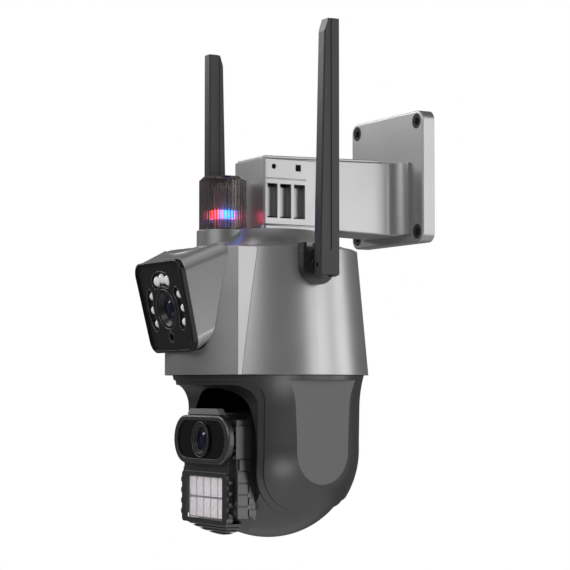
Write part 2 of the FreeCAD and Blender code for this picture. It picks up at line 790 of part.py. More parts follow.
def housing_screws():
    """Screws that hold the arm on the cap and the chassis on the housing's posts."""
    arm = screws([(x, y, "-43.6") for x, y in arm_screw_places()], "1.5", "10", "2.8", "1.6", "Z", 1)
    chassis = screws([(x, y, "-133.05") for x, y in post_places()], "1.25", "12", "2.6", "1.3", "Z", 1)
    return piece("housing_screws", group([arm, chassis]))


def pan_bearing():
    """Flanged bush in the chassis."""
    sleeve = rod(("0", "-axis_reach", "-133"), f"12.5 - {RUN_FIT}", "5.7")
    bore = rod(("0", "-axis_reach", "-134"), f"shaft_radius + {RUN_FIT}", "10")
    return piece("pan_bearing", cut(sleeve, bore))


def pan_shaft():
    """Hollow shaft with a flange, screwed to the yoke."""
    tube = rod(("0", "-axis_reach", "-142"), "shaft_radius", "27.4")
    flange = rod(("0", "-axis_reach", "-136.9"), "17", "2")
    bore = rod(("0", "-axis_reach", "-150"), "5", "40")
    holes = [rod((x, y, "-140"), "1.3", "10") for x, y in shaft_screw_places()]
    return piece("pan_shaft", cut(fuse(tube, flange), bore, *holes))


def shaft_screw_places():
    places = []
    for quarter in range(4):
        angle = math.pi / 2 * quarter + math.pi / 4
        x, y = 13.2 * math.cos(angle), 13.2 * math.sin(angle)
        places.append((f"{x:.3f}", f"-axis_reach + {y:.3f}"))
    return places


def shaft_screws():
    """Screws through the shaft's flange into the yoke."""
    places = [(x, y, "-134.85") for x, y in shaft_screw_places()]
    return piece("shaft_screws", screws(places, "1.2", "6.6", "2.2", "1.1", "Z", -1))


def pan_gear():
    """Large gear with a hub, on the pan shaft."""
    bore = size("shaft_radius") + 0.02
    gear = involute_gear(int(size("pan_teeth")), size("gear_module"), 4.0, bore, GEAR_PLAY)
    hub = Part.makeCylinder(12, 2.4, Vector(0, 0, 4)).cut(Part.makeCylinder(bore, 4, Vector(0, 0, 3)))
    spot = pan_centre() + Vector(0, 0, -126.6)
    return shaped("pan_gear", gear.fuse(hub), Placement(spot, Rotation()))


def pan_pinion():
    """Small gear with its shaft, driven by the pan motor."""
    gear = involute_gear(int(size("pan_pinion_teeth")), size("gear_module"), 4.6, 0, GEAR_PLAY)
    stem = Part.makeCylinder(1.2, 5.5, Vector(0, 0, 4.6))
    spot = pan_centre() + Vector(0, pan_spacing(), -126.9)
    half_tooth = 180.0 / size("pan_pinion_teeth")
    turn = Rotation(Vector(0, 0, 1), 270 + half_tooth)
    return shaped("pan_pinion", gear.fuse(stem), Placement(spot, turn))


def pan_motor():
    """Stepper motor with two ears, above the pinion."""
    y = f"-axis_reach + {pan_spacing():.3f}"
    can = rod(("0", y, "-121.5"), "12", "17")
    ears = block(("-20", "-axis_reach + 28", "-121.5"), ("40", "8", "1.5"))
    ears = rounded(ears, 3.5, lambda edge: runs_along(edge, "Z"))
    bore = rod(("0", y, "-122"), "1.3", "7")
    return piece("pan_motor", cut(fuse(can, ears), bore))


def slip_ring():
    """Brings power and video down to the turning half."""
    drum = rod(("0", "-axis_reach", "-113.6"), "7.5", "17.55")
    brim = rod(("0", "-axis_reach", "-99"), "11", "2.95")
    return piece("slip_ring", fuse(drum, brim))


# ---------------------------------------------------------------- yoke

def yoke_form(shrink):
    """Turned outer form of the yoke: a concave skirt that runs into a ball, smaller by shrink."""
    radius = size("yoke_radius") - shrink
    top = -size("rim_depth") - 0.5
    centre = -size("tilt_depth")
    side = radius * math.sqrt(0.5)
    outline = [(0.0, -137.0), (size("yoke_top_radius") - 1.2 - shrink, -137.0),
               (size("yoke_top_radius") - shrink, top),
               ((64.1 - shrink, -149.5), (63.0 - shrink, -163.0)), (radius, centre + 6), (radius, centre),
               ((side, centre - side), (0.0, centre - radius))]
    return turned(outline)


def yoke_side_outline(inset):
    """The yoke seen from its side: closed behind, a band across the top, one rounded lobe in front."""
    half = size("lobe_half") - inset
    reach = 72.0
    top, band = -130.0, -146.8 + inset
    tilt = -size("tilt_depth")
    corner = 15.0
    diagonal = corner * (1 - math.sqrt(0.5))
    front_foot, low_point, rear_foot = tilt - 8.0, tilt - 43.5 + inset, tilt - 30.0 + inset
    return [(-reach, top), (reach, top), (reach, rear_foot), ((30.0, tilt - 38.5 + inset), (0.0, low_point)),
            ((-half * 0.74, tilt - 33.0 + 0.7 * inset), (-half, front_foot)), (-half, band - corner),
            ((-half - diagonal, band - diagonal), (-half - corner, band)), (-reach, band)]


def yoke_side(inset):
    return padded([yoke_side_outline(inset)], "160", "YZ_Plane", ("-80", "-axis_reach", "0"))


def yoke_shell():
    """Helmet with a ball-shaped room for the head, open below and in front."""
    slice_room = block(("-yoke_inner", "-axis_reach - 80", "-tilt_depth - 80"),
                       ("2 * yoke_inner", "160", "80 + ceiling"))
    room = common(ball(("0", "-axis_reach", "-tilt_depth"), "yoke_room"), slice_room)
    axis = Vector(0, -size("axis_reach"), 0)
    flats = [tilted(block((low, "-axis_reach - 50", "-tilt_depth - 80"), ("20", "100", "80 + ceiling")),
                    turn, axis, Vector(0, 0, 1))
             for low, turn in (("yoke_flat", 9), ("-yoke_flat - 20", -9))]
    axle_holes = [rod((low, "-axis_reach", "-tilt_depth"), "axle_radius + 0.02", "5.5", "X")
                  for low in ("yoke_inner - 2", "-yoke_inner - 3.5")]
    shaft_hole = rod(("0", "-axis_reach", "-150"), f"shaft_radius + {RUN_FIT}", "30")
    holes = [rod((x, y, "-143.5"), "1.25", "9") for x, y in shaft_screw_places()]
    rebate = 3.2
    body = fuse(common(yoke_form(0.0), yoke_side(rebate)), common(yoke_form(1.2), yoke_side(0.0)))
    return piece("yoke_shell", cut(body, room, shaft_hole, *flats, *axle_holes, *holes))


def tilt_axles():
    """Stubs fixed in the yoke's walls, each with a flange inside the head; the right one carries the gear."""
    right = fuse(rod(("-yoke_inner - 3.3", "-axis_reach", "-tilt_depth"), "axle_radius", "7", "X"),
                 rod(("-50.4", "-axis_reach", "-tilt_depth"), "9.5", "1.2", "X"),
                 rod(("-49.3", "-axis_reach", "-tilt_depth"), "4", "3.6", "X"))
    left = fuse(rod(("50.3", "-axis_reach", "-tilt_depth"), "axle_radius", "yoke_inner + 3.3 - 50.3", "X"),
                rod(("49.2", "-axis_reach", "-tilt_depth"), "9.5", "1.2", "X"))
    return piece("tilt_axles", group([left, right]))


def tilt_bushes():
    """Bushes in the head's side walls, round the axle stubs."""
    made = []
    for low in ("ball_half - ball_wall", "-ball_half + 0.1"):
        sleeve = rod((low, "-axis_reach", "-tilt_depth"), "8", "ball_wall - 0.1", "X")
        bore = rod((low, "-axis_reach", "-tilt_depth"), f"axle_radius + {RUN_FIT}", "ball_wall", "X")
        made.append(cut(sleeve, bore))
    return piece("tilt_bushes", group(made))


def tilt_spacing():
    return size("gear_module") * (size("tilt_teeth") + size("tilt_pinion_teeth")) / 2


TILT_GEAR_X = -49.0
TILT_GEAR_WIDTH = 2.6


def tilt_gear():
    """Gear fixed on the right axle stub; the head's motor walks round it."""
    gear = involute_gear(int(size("tilt_teeth")), size("gear_module"), TILT_GEAR_WIDTH, 4.02, GEAR_PLAY)
    spot = Vector(TILT_GEAR_X, -size("axis_reach"), -size("tilt_depth"))
    return shaped("tilt_gear", gear, Placement(spot, TURNS["X"]))


def tilt_pinion():
    """Small gear on the tilt motor's shaft, behind the tilt gear."""
    gear = involute_gear(int(size("tilt_pinion_teeth")), size("gear_module"), TILT_GEAR_WIDTH, 0, GEAR_PLAY)
    stem = Part.makeCylinder(1.0, 4.0, Vector(0, 0, TILT_GEAR_WIDTH))
    spot = Vector(TILT_GEAR_X, -size("axis_reach") + tilt_spacing(), -size("tilt_depth"))
    return shaped("tilt_pinion", gear.fuse(stem), Placement(spot, TURNS["X"]))


def tilt_motor():
    """Stepper motor inside the head."""
    y = f"-axis_reach + {tilt_spacing():.3f}"
    can = rod(("-45.8", y, "-tilt_depth"), "9", "17", "X")
    bore = rod(("-46", y, "-tilt_depth"), "1.1", "5", "X")
    return piece("tilt_motor", cut(can, bore))


# ---------------------------------------------------------------- nodding head

def head_point(forward, height):
    """Y and Z formulas of a place given from the tilt axis, forward and up."""
    return (f"-axis_reach - ({forward})", f"-tilt_depth + ({height})")


def head_block(x, forward, height):
    """A box in the head: x, forward and height each as (low, high) from the tilt axis."""
    y, z = head_point(forward[1], height[0])
    return block((f"{x[0]}", y, z),
                 (f"{x[1] - x[0]}", f"{forward[1] - forward[0]}", f"{height[1] - height[0]}"))


def head_rod(x, forward, height, radius, length, axis="Y"):
    """A rod in the head whose near end is at forward; along Y it runs back from there."""
    y, z = head_point(forward, height)
    return rod((f"{x}", y, z), f"{radius}", f"{length}", axis)


FRONT_STEP = 31.0
LENS_HEIGHT = 7.5


def dome_top(inset):
    """Large ball whose top rounds off the head's upper side."""
    return ball(("0", "-axis_reach", "-tilt_depth - 91"), f"120 - {inset}")


def head_shell():
    """Rear half of the head: a hollow ball with flat sides, cut away above so that it can nod."""
    globe = common(ball(("0", "-axis_reach", "-tilt_depth"), "ball_radius"), dome_top("0"),
                   head_block((-53.8, 53.8), (-70, FRONT_STEP), (-70, 40)))
    hollow = common(ball(("0", "-axis_reach", "-tilt_depth"), "ball_radius - ball_wall"),
                    dome_top("ball_wall"),
                    fuse(head_block((-51.2, 51.2), (-35.4, FRONT_STEP - 3), (-70, 40)),
                         head_block((-51.2, 51.2), (-70, FRONT_STEP - 3), (-70, -33.6))))
    back = head_block((-60, 60), (-80, -38), (-31, 60))
    way = head_block((-24, 24), (FRONT_STEP - 4, FRONT_STEP + 1), (-16, 20.4))
    bush_holes = [rod((low, "-axis_reach", "-tilt_depth"), "8.02", "6", "X") for low in ("50", "-56")]
    holes = [head_rod(x, FRONT_STEP + 1, height, 1.4, 6) for x, height in head_screw_places()]
    return piece("head_shell", cut(globe, back, hollow, way, *bush_holes, *holes))


def head_screw_places():
    return [(x, height) for x in (-32, 32) for height in (-30, 12)]


def chin(inset):
    """Bowl under the lamp frame, its front sloping back; inset makes it smaller all over."""
    blank = head_block((-29, 29), (FRONT_STEP + 3, 48.4), (-62, -48))
    across = head_rod(0, 60, -4.5, 52.5 - inset, 40)
    slope = rod(("-40", *head_point(20.0, -20.5)), f"{40.0 - inset}", "80", "X")
    return common(common(blank, across), slope)


def head_face():
    """Front body of the head: carries the zoom lens above and the lamps below."""
    block_body = head_block((-38.0, 38.0), (FRONT_STEP + 0.05, 45.4), (-54.0, 21.0))
    crown = head_block((-26.0, 26.0), (FRONT_STEP + 0.05, 48.4), (20.0, 24.4))
    neck = head_block((-32.0, 32.0), (40.0, 48.4), (-49.0, 20.0))
    body = common(fuse(block_body, crown, neck), ball(("0", "-axis_reach", "-tilt_depth"), "67"))
    grooves = [head_block((-30, 30), (FRONT_STEP, 60), (height, height + 0.7))
               for height in (-55.4, -53.2, -51.0)]
    teeth = [head_rod(x, 47.6, height, 1.7, 3) for x in (-36.3, 36.3) for height in (-3.5, 1, 5.5, 10, 14.5)]
    lens_way = head_rod(0, 62, LENS_HEIGHT, 12.5, 40)
    lens_room = head_block((-25, 25), (FRONT_STEP - 1, 43.4), (-9, 17.5))
    lamp_room = head_block((-26, 26), (39.4, 60), (-46.6, -17))
    holes = [head_rod(x, 42, height, 1.25, 12) for x, height in head_screw_places()]
    body = fuse(body, chin(1.0), cut(chin(0.0), *grooves), *teeth)
    return piece("head_face", cut(body, lens_way, lens_room, lamp_room, *holes))


def lens_bezel_outline(half_width, half_height, straight):
    """Window outline centred on the lens: straight above and below, a wide arc at each end."""
    return [(-straight, -half_height), (straight, -half_height), ((half_width, 0.0), (straight, half_height)),
            (-straight, half_height), ((-half_width, 0.0), (-straight, -half_height))]


def bezel_slab(half_width, half_height, straight, forward, depth):
    """Slab of the bezel's outline whose front is at forward and that runs back by depth."""
    outline = lens_bezel_outline(half_width, half_height, straight)
    y, z = head_point(forward - depth, LENS_HEIGHT)
    return padded([outline], f"{depth}", "XZ_Plane", ("0", y, z))


def lens_bezel():
    """Deep black frame round the zoom camera's window."""
    outer = bezel_slab(40.2, 16.4, 24.4, 52.8, 4.3)
    outer = rounded(outer, 1.6, lambda edge: edge.BoundBox.YMax < -size("axis_reach") - 52.7)
    mouth = bezel_slab(34.6, 12.9, 22.4, 53.4, 2.6)
    way = head_rod(0, 62, LENS_HEIGHT, 12.5, 40)
    return piece("lens_bezel", cut(outer, mouth, way))


def lens_window():
    """Black glass behind the bezel, with a hole for the lens."""
    pane = bezel_slab(34.4, 12.7, 22.3, 51.6, 0.75)
    return piece("lens_window", cut(pane, head_rod(0, 62, LENS_HEIGHT, 12.4, 40)))


def zoom_barrel():
    """Lens tube with a bright front ring."""
    tube = head_rod(0, 53.0, LENS_HEIGHT, 12.2, 23.4)
    mouth = cone(("0", *head_point(53.1, LENS_HEIGHT)), "9.8", "8.4", "2.6", "Y")
    seat = head_rod(0, 50.6, LENS_HEIGHT, 7.6, 3)
    core = head_rod(0, 47.8, LENS_HEIGHT, 6, 16.4)
    return piece("zoom_lens_barrel", cut(tube, mouth, seat, core))


def zoom_glass():
    """Front lens of the zoom camera."""
    disc = head_rod(0, 50.4, LENS_HEIGHT, 7.5, 2.6)
    bulge = common(ball(("0", *head_point(43.0, LENS_HEIGHT)), "8.9"), head_rod(0, 52.4, LENS_HEIGHT, 7.5, 4))
    return piece("zoom_lens_glass", fuse(disc, bulge))


def sensor_board():
    """Image sensor board behind the zoom lens."""
    board = head_block((-16, 16), (27.2, 28.8), (-8, 17.0))
    chip = head_block((-5, 5), (28.8, 29.4), (2.5, 12.5))
    return piece("zoom_sensor_board", fuse(board, chip))


def lamp_frame():
    """Frame of the lamp panel, with four small lugs down each side."""
    y_low, y_high = 45.45, 50.0
    frame = head_block((-32.6, 32.6), (y_low, y_high), (-48.8, -14.2))
    frame = rounded(frame, 3.0, lambda edge: runs_along(edge, "Y"))
    opening = head_block((-26.2, 26.2), (40, 60), (-45.6, -17.2))
    lugs = []
    for index in range(4):
        height = -20.5 - index * 7.2
        for x in (-33.0, 33.0):
            lugs.append(head_rod(x, y_high - 0.6, height, 2.2, 3.2))
    neck = head_block((-32.1, 32.1), (40, 48.45), (-60, 20))
    return piece("lamp_frame", cut(fuse(frame, *lugs), opening, neck))


def lamp_board():
    """Board behind the lamps."""
    return piece("lamp_board", head_block((-25.8, 25.8), (40.0, 41.4), (-46.4, -17.6)))


def lamp_reflectors():
    """Two rows of five square reflector cups."""
    tray = head_block((-25.8, 25.8), (41.45, 47.0), (-45.4, -17.4))
    cups = []
    for x, height in lamp_cells():
        corner = (f"{x - 4.7}", *head_point(48.4, height - 6.3))
        cups.append(block(corner, ("9.4", "5", "12.6")))
        cups.append(head_rod(x, 46.4, height, 2.6, 5))
    return piece("lamp_reflectors", cut(tray, *cups))


def lamp_cells():
    """Centres of the ten lamps."""
    return [(-20.4 + 10.2 * column, -24.4 - 14.0 * line) for line in range(2) for column in range(5)]


def lamp_chips():
    """Ten bright lamps on the lamp board."""
    chips = [head_rod(x, 44.4, height, 2.4, 2.95) for x, height in lamp_cells()]
    return piece("lamp_chips", group(chips))


def lamp_window():
    """Clear cover over the lamps."""
    return piece("lamp_window", head_block((-25.9, 25.9), (47.05, 47.9), (-45.5, -17.3)))


def cooling_cheeks():
    """Stepped cheek plates with a dashed upright groove, one on each side of the front body."""
    made = []
    for sign in (1, -1):
        side = sorted((sign * 38.05, sign * 39.4))
        face = sorted((sign * 38.7, sign * 41.0))
        upper = head_block(side, (FRONT_STEP + 3.4, 46.6), (-4.5, 17.0))
        link = head_block(side, (FRONT_STEP + 4.6, 44.0), (-12.4, -3.5))
        lower = head_block(side, (FRONT_STEP + 6.6, 45.4), (-44.0, -12))
        dashes = [head_block(face, (39.0, 39.9), (height, height + 3.2)) for height in (-3.0, 1.8, 6.6, 11.4)]
        seams = [head_block(face, (30, 50), (height, height + 0.8))
                 for height in (-5.3, -13.2, -21.0, -28.6, -36.4)]
        steps = []
        for index in range(3):
            height = -27.0 - 7.8 * index
            steps.append(head_block(side, (FRONT_STEP + 4.4 - 2.1 * index, FRONT_STEP + 5.8),
                                    (height, height + 4.4)))
        rail = head_block(sorted((sign * 38.05, sign * 38.5)), (FRONT_STEP + 3, 40), (-43.0, -16))
        body = cut(fuse(upper, link, lower), *dashes, *seams)
        made.append(fuse(body, rail, *steps))
    return piece("cooling_cheeks", group(made))


def brow():
    """Small grey plate on top of the zoom camera's frame."""
    outline = [(-24, 0), (24, 0), (19.5, 3.9), (-19.5, 3.9)]
    y, z = head_point(45.8, LENS_HEIGHT + 16.95)
    return piece("brow_plate", padded([outline], "4.6", "XZ_Plane", ("0", y, z)))


def head_screws():
    """Screws that join the front body to the rear shell."""
    places = [(f"{x}", *head_point(27.95, height)) for x, height in head_screw_places()]
    return piece("head_screws", screws(places, "1.2", "10", "2.4", "1.2", "Y", -1))


# ---------------------------------------------------------------- aerials

def aerial_base(label, sign):
    """Black pad on the housing's side, rounded below, with three webs up to the shoulder."""
    face = 68.6
    low, length = ("40" if sign > 0 else f"{-face}"), f"{face - 40}"
    body = rod((low, "-aerial_reach", "-hinge_depth"), "12.2", length, "X")
    upper = block((low, "-aerial_reach - 12.2", "-hinge_depth"), (length, "24.4", "9.5"))
    webs = [block((low, f"-aerial_reach + {y}", "-hinge_depth + 9"), (length, "2.2", "6.5"))
            for y in (-11.9, -1.1, 9.7)]
    hole = rod((f"{64 if sign > 0 else -70}", "-aerial_reach", "-hinge_depth"), "3.05", "6", "X")
    cap_form = turned([(0.0, -40.0), (shoulder(), -40.0), (shoulder(), -56.0), (0.0, -56.0)])
    return piece(label, cut(fuse(body, upper, *webs), housing_cone("0.03"), cap_form, hole))


def shoulder():
    return size("shoulder_radius") + 0.05


def aerial_knuckle(label, sign):
    """Swivel with a tongue that carries the blade's pin."""
    near, far = 68.9, 70.3
    low = near if sign > 0 else -far
    drum = rod((f"{low}", "-aerial_reach", "-hinge_depth"), "6.7", f"{far - near}", "X")
    stud = rod((f"{64.5 if sign > 0 else -near - 0.5}", "-aerial_reach", "-hinge_depth"), "3", "4.9", "X")
    tongue_low = f"{far - 0.5}" if sign > 0 else "-aerial_side"
    tongue = block((tongue_low, "-aerial_reach - 2.4", "-hinge_depth - 3"),
                   (f"aerial_side - {far - 0.5}", "4.8", "6"))
    eye = rod((f"{sign} * aerial_side", "-aerial_reach - 2.4", "-hinge_depth"), "3", "4.8", "Y")
    pin = rod((f"{sign} * aerial_side", "-aerial_reach - 6.2", "-hinge_depth"), "1.5", "12.4", "Y")
    return piece(label, fuse(drum, stud, tongue, eye, pin))


def blade_outline():
    """Side of a blade in (forward, up): straight at the back, tapering in front, chamfered at the tip."""
    half, tip, top = size("blade_wide") / 2, size("blade_tip"), size("blade_length")
    foot = -7.6
    chamfer_wide, chamfer_tall = 3.0, 9.0
    front_top = half - tip
    return [(-half, foot + 2), (-half + 2, foot), (half - 2, foot), (half, foot + 2), (half, top),
            (front_top + chamfer_wide, top), (front_top, top - chamfer_tall), (-half, 12.0)]


def aerial_blade(label, sign):
    """Flat tapering paddle with a long groove on each face and a slot for the knuckle's tongue."""
    outline = [(sign * a, b) for a, b in blade_outline()]
    thick = size("blade_thick")
    slab = padded([outline], "blade_thick", "YZ_Plane",
                  (f"{sign} * aerial_side - blade_thick / 2", "-aerial_reach", "-hinge_depth"))
    slab = rounded(slab, 1.0, lambda edge: edge.BoundBox.ZLength > 20)
    faces = []
    for low in (-thick / 2 - 1, thick / 2 - 0.6):
        x = sign * size("aerial_side") + low
        faces.append(block((f"{x:.3f}", "-aerial_reach - 1.1", "-hinge_depth + 10"),
                           ("1.6", "2.4", "blade_length")))
    slot_low = f"{sign} * aerial_side - blade_thick"
    if sign < 0:
        slot_low = "-aerial_side - 3.3"
    slot = block((slot_low, "-aerial_reach - 2.7", "-hinge_depth - 20"), ("blade_thick + 3.3", "5.4", "29"))
    round_foot = rod((f"{sign} * aerial_side", "-aerial_reach - 20", "-hinge_depth"), "7.6", "40", "Y")
    foot_zone = block((f"{sign} * aerial_side - 20", "-aerial_reach - 20", "-hinge_depth - 30"),
                      ("40", "40", "30"))
    pin_hole = rod((f"{sign} * aerial_side", "-aerial_reach - 10", "-hinge_depth"),
                   f"1.5 + {RUN_FIT}", "20", "Y")
    return piece(label, cut(slab, slot, pin_hole, *faces, cut(foot_zone, round_foot)))


# ---------------------------------------------------------------- build, check and write

def build():
    wall_plate()
    plate_grommets()
    bracket_arm()
    arm_lid()
    vent_cover()
    vent_speaker()
    dome_cap()
    upper_housing()
    front_panel()
    main_board()
    board_chips()
    pod_shell()
    pod_bezel()
    pod_screws()
    pod_boards()
    pod_lamps()
    pod_sensor()
    pod_lens_barrel()
    pod_lens_glass()
    strobe_collar()
    strobe_lens()
    strobe_board()
    strobe_lamps("strobe_lamps_red", 68)
    strobe_lamps("strobe_lamps_blue", 158)
    pan_chassis()
    housing_screws()
    pan_bearing()
    pan_motor()
    pan_pinion()
    slip_ring()
    pan_shaft()
    shaft_screws()
    pan_gear()
    yoke_shell()
    tilt_bushes()
    tilt_motor()
    tilt_pinion()
    tilt_gear()
    tilt_axles()
    head_shell()
    head_face()
    lens_bezel()
    lens_window()
    zoom_barrel()
    zoom_glass()
    sensor_board()
    lamp_frame()
    lamp_board()
    lamp_reflectors()
    lamp_chips()
    lamp_window()
    brow()
    cooling_cheeks()
    head_screws()
    for side, sign in (("left", 1), ("right", -1)):
        aerial_base(f"aerial_base_{side}", sign)
        aerial_knuckle(f"aerial_knuckle_{side}", sign)
        aerial_blade(f"aerial_blade_{side}", sign)


def check():
    """Stop if any object failed or any piece is empty or broken."""
    for thing in document.Objects:
        if "Invalid" in thing.State or "Error" in thing.State:
            raise RuntimeError(f"{thing.Name} ({thing.Label}) failed: {thing.State}")
    for thing in pieces:
        shape = thing.Shape
        if shape.isNull() or not shape.isValid() or not shape.Solids:
            raise RuntimeError(f"{thing.Label} has no valid solid")
        print(f"{thing.Label:22s} solids {len(shape.Solids)} volume {shape.Volume:10.1f}")


def write():
    os.makedirs("parts", exist_ok=True)
    for thing in pieces:
        thing.Shape.exportStep(f"parts/{thing.Label}.step")


build()
document.recompute()
check()
write()
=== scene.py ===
import math
import bpy
from mathutils import Matrix, Vector


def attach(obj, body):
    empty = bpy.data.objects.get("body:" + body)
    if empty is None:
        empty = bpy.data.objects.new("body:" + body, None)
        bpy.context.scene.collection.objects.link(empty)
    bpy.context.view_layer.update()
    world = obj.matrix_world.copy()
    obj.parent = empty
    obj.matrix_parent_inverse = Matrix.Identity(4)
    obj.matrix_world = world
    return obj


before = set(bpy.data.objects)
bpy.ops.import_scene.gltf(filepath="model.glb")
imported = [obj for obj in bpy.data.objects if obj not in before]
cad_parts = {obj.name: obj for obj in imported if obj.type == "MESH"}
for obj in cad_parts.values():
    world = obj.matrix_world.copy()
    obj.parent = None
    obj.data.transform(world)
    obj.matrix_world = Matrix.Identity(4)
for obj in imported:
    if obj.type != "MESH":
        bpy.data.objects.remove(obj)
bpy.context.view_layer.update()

# Metres, in the CAD frame: the origin on the wall behind the plate, +Z up, the camera's front towards -Y.
AXIS_REACH = 0.108
TILT_DEPTH = 0.1912
POD_CENTRE = Vector((0.0, -0.185, -0.096))
POD_TILT = math.radians(13.0)
POD_FACE = -0.0017
POD_SENSOR_DROP = 0.019
LENS_HEIGHT = 0.0075
LAMP_PITCH = 0.0102
LAMP_ROW_DROP = 0.014
LAMP_COLUMNS, LAMP_ROWS = 5, 2
EYE = Vector((1.11421, -0.73789, -0.15163))
EYE_AZIMUTH, EYE_ELEVATION = math.radians(60.0), math.radians(-3.31)
EYE_LENS, EYE_SENSOR = 116.8, 36.0


# ---------------------------------------------------------------- materials

def new_material(name):
    """An empty node material with a Principled shader, and the tools to wire it."""
    made = bpy.data.materials.new(name)
    made.use_nodes = True
    tree = made.node_tree
    shader = tree.nodes["Principled BSDF"]
    where = tree.nodes.new("ShaderNodeTexCoord")
    return made, tree, shader, where


def noise(tree, where, scale, detail=3.0, stretch=(1, 1, 1)):
    """Noise in object space, optionally stretched along an axis."""
    mapping = tree.nodes.new("ShaderNodeMapping")
    mapping.inputs["Scale"].default_value = stretch
    tree.links.new(where.outputs["Object"], mapping.inputs["Vector"])
    made = tree.nodes.new("ShaderNodeTexNoise")
    made.inputs["Scale"].default_value = scale
    made.inputs["Detail"].default_value = detail
    tree.links.new(mapping.outputs["Vector"], made.inputs["Vector"])
    return made


def ramp(tree, source, low, high):
    """Grey noise mapped onto a range of colours."""
    made = tree.nodes.new("ShaderNodeMix")
    made.data_type = "RGBA"
    # The colour sockets of this node: factor 0, the two colours 6 and 7, result 2.
    made.inputs[6].default_value = (*low, 1.0)
    made.inputs[7].default_value = (*high, 1.0)
    tree.links.new(source.outputs[0], made.inputs[0])
    return made.outputs[2]


def spread(tree, source, low, high):
    """Grey noise mapped onto a range of numbers."""
    made = tree.nodes.new("ShaderNodeMapRange")
    made.inputs["From Min"].default_value = 0.3
    made.inputs["From Max"].default_value = 0.7
    made.inputs["To Min"].default_value = low
    made.inputs["To Max"].default_value = high
    tree.links.new(source.outputs[0], made.inputs["Value"])
    return made.outputs["Result"]


def bump(tree, source, shader, strength, distance, edge):
    """Fine surface grain, over corners that look rounded by edge metres."""
    made = tree.nodes.new("ShaderNodeBump")
    made.inputs["Strength"].default_value = strength
    made.inputs["Distance"].default_value = distance
    tree.links.new(source.outputs[0], made.inputs["Height"])
    if edge:
        soft = tree.nodes.new("ShaderNodeBevel")
        soft.samples = 4
        soft.inputs["Radius"].default_value = edge
        tree.links.new(soft.outputs["Normal"], made.inputs["Normal"])
    tree.links.new(made.outputs["Normal"], shader.inputs["Normal"])


def grained(name, colour, vary, rough, metallic=0.0, grain=900.0, depth=0.00003, coat=0.0, edge=0.0,
            specular=0.5):
    """The common recipe: colour and roughness that vary a little, over a fine grain."""
    made, tree, shader, where = new_material(name)
    fine = noise(tree, where, grain)
    broad = noise(tree, where, 18.0)
    low = [c * (1 - vary) for c in colour]
    high = [min(1.0, c * (1 + vary)) for c in colour]
    tree.links.new(ramp(tree, fine, low, high), shader.inputs["Base Color"])
    tree.links.new(spread(tree, broad, rough * 0.9, rough * 1.1), shader.inputs["Roughness"])
    shader.inputs["Metallic"].default_value = metallic
    shader.inputs["Coat Weight"].default_value = coat
    shader.inputs["Coat Roughness"].default_value = 0.25
    shader.inputs["Specular IOR Level"].default_value = specular
    bump(tree, fine, shader, 0.25, depth, edge)
    return made


def silver_paint():
    """Grey metallic paint with fine flakes under a satin coat."""
    return grained("silver_paint", (0.46, 0.46, 0.465), 0.08, 0.36, 0.85, 1600.0, 0.00001, 0.15, 0.0006)


def black_shell():
    """Dark plastic in a pearly graphite finish with a fine spark texture."""
    return grained("black_shell", (0.115, 0.115, 0.118), 0.15, 0.38, 0.9, 1400.0, 0.00005, 0.0, 0.0006)


def black_satin():
    """Dark plastic with a smoother finish."""
    return grained("black_satin", (0.012, 0.012, 0.013), 0.2, 0.30, 0.0, 1100.0, 0.00002, 0.0, 0.0004, 0.3)


def black_gloss():
    """Polished black plastic."""
    return grained("black_gloss", (0.003, 0.003, 0.0035), 0.2, 0.14, 0.0, 500.0, 0.000005, 0.0, 0.0, 0.2)


def aerial_plastic():
    """Softer dark plastic of the aerials."""
    return grained("aerial_plastic", (0.024, 0.024, 0.026), 0.2, 0.38, 0.0, 1200.0, 0.00003, 0.0, 0.0004)


def rubber():
    """Matt black rubber of the grommets."""
    return grained("rubber", (0.018, 0.018, 0.018), 0.25, 0.7, 0.0, 700.0, 0.00004)


def steel():
    """Plated steel of screws and motors."""
    return grained("steel", (0.55, 0.55, 0.56), 0.1, 0.28, 1.0, 900.0, 0.00001)


def dark_steel():
    """Blackened screws in the bezel."""
    return grained("dark_steel", (0.10, 0.10, 0.11), 0.15, 0.35, 1.0, 900.0, 0.00001)


def bronze():
    """Sintered bronze of the bearings."""
    return grained("bronze", (0.50, 0.34, 0.14), 0.12, 0.3, 1.0, 700.0, 0.00001)


def acetal():
    """Off-white gear plastic."""
    return grained("acetal", (0.68, 0.66, 0.58), 0.04, 0.4, 0.0, 500.0, 0.00001)


def solder_mask():
    """Green circuit board."""
    return grained("solder_mask", (0.015, 0.09, 0.04), 0.25, 0.35, 0.0, 400.0, 0.00002, 0.4)


def chip_black():
    """Matt resin of the chips."""
    return grained("chip_black", (0.02, 0.02, 0.022), 0.2, 0.5, 0.0, 900.0, 0.00002)


def brow_grey():
    """Mid grey of the plate above the zoom lens."""
    return grained("brow_grey", (0.34, 0.34, 0.345), 0.06, 0.4, 0.4, 900.0, 0.00002)


def white_plastic():
    """White core inside the warning light."""
    return grained("white_plastic", (0.6, 0.6, 0.6), 0.05, 0.45, 0.0, 600.0, 0.00002)


def mirror_cups():
    """Bright plated reflector cups."""
    return grained("mirror_cups", (0.9, 0.9, 0.9), 0.05, 0.3, 0.6, 400.0, 0.00001)


def lit(name, colour, strength, deep):
    """A glowing lamp, mottled between a bright and a deeper colour."""
    made, tree, shader, where = new_material(name)
    mottled = ramp(tree, noise(tree, where, 350.0), deep, colour)
    tree.links.new(mottled, shader.inputs["Emission Color"])
    tree.links.new(mottled, shader.inputs["Base Color"])
    shader.inputs["Emission Strength"].default_value = strength
    shader.inputs["Roughness"].default_value = 0.3
    return made


